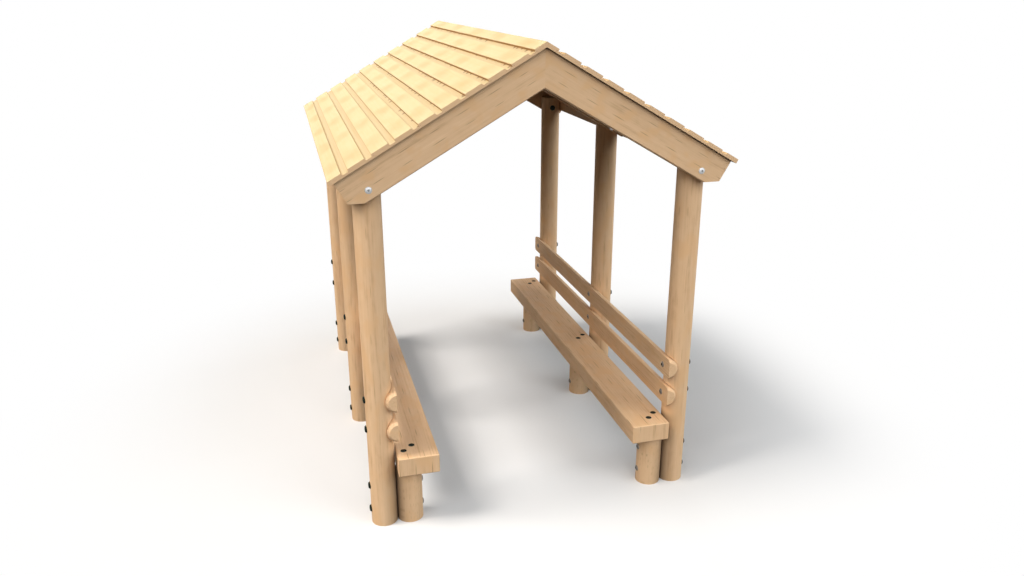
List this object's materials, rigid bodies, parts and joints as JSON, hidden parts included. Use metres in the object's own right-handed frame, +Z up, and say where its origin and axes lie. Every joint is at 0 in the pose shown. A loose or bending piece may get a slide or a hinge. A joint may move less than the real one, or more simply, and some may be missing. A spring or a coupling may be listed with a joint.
{
  "type": "garden gazebo with benches",
  "caption": "Open timber garden shelter: round posts, a pitched roof of shiplap boards and a bench with half-round back rails along each side.",
  "frame": {"origin": "on the ground, in the middle of the plan", "axes": "+Z up, +Y along the ridge towards the back, +X across to the right as seen from the front"},
  "size_m": [1.8404, 2.437, 2.2396],
  "materials": {
    "post_timber": "machine-rounded pine, matt",
    "bench_timber": "planed pine, matt",
    "rafter_timber": "planed pine, matt",
    "roof_board_timber": "planed shiplap, matt",
    "bolt_steel": "zinc-plated",
    "cap_plastic": "moulded, matt"
  },
  "bodies": {
    "root": {"front_left_post": "post_timber", "front_left_rafter": "rafter_timber", "middle_left_post": "post_timber", "middle_left_rafter": "rafter_timber", "back_left_post": "post_timber", "back_left_rafter": "rafter_timber", "left_bench_legs": "post_timber", "left_seat": "bench_timber", "left_lower_rail": "bench_timber", "left_upper_rail": "bench_timber", "left_eaves_plate": "rafter_timber", "left_roof_board_1": "roof_board_timber", "left_roof_board_2": "roof_board_timber", "left_roof_board_3": "roof_board_timber", "left_roof_board_4": "roof_board_timber", "left_roof_board_5": "roof_board_timber", "left_roof_board_6": "roof_board_timber", "left_roof_board_7": "roof_board_timber", "left_roof_board_8": "roof_board_timber", "left_roof_board_9": "roof_board_timber", "left_roof_board_10": "roof_board_timber", "front_right_post": "post_timber", "front_right_rafter": "rafter_timber", "middle_right_post": "post_timber", "middle_right_rafter": "rafter_timber", "back_right_post": "post_timber", "back_right_rafter": "rafter_timber", "right_bench_legs": "post_timber", "right_seat": "bench_timber", "right_lower_rail": "bench_timber", "right_upper_rail": "bench_timber", "right_eaves_plate": "rafter_timber", "right_roof_board_1": "roof_board_timber", "right_roof_board_2": "roof_board_timber", "right_roof_board_3": "roof_board_timber", "right_roof_board_4": "roof_board_timber", "right_roof_board_5": "roof_board_timber", "right_roof_board_6": "roof_board_timber", "right_roof_board_7": "roof_board_timber", "right_roof_board_8": "roof_board_timber", "right_roof_board_9": "roof_board_timber", "right_roof_board_10": "roof_board_timber"}
  },
  "joints": []
}
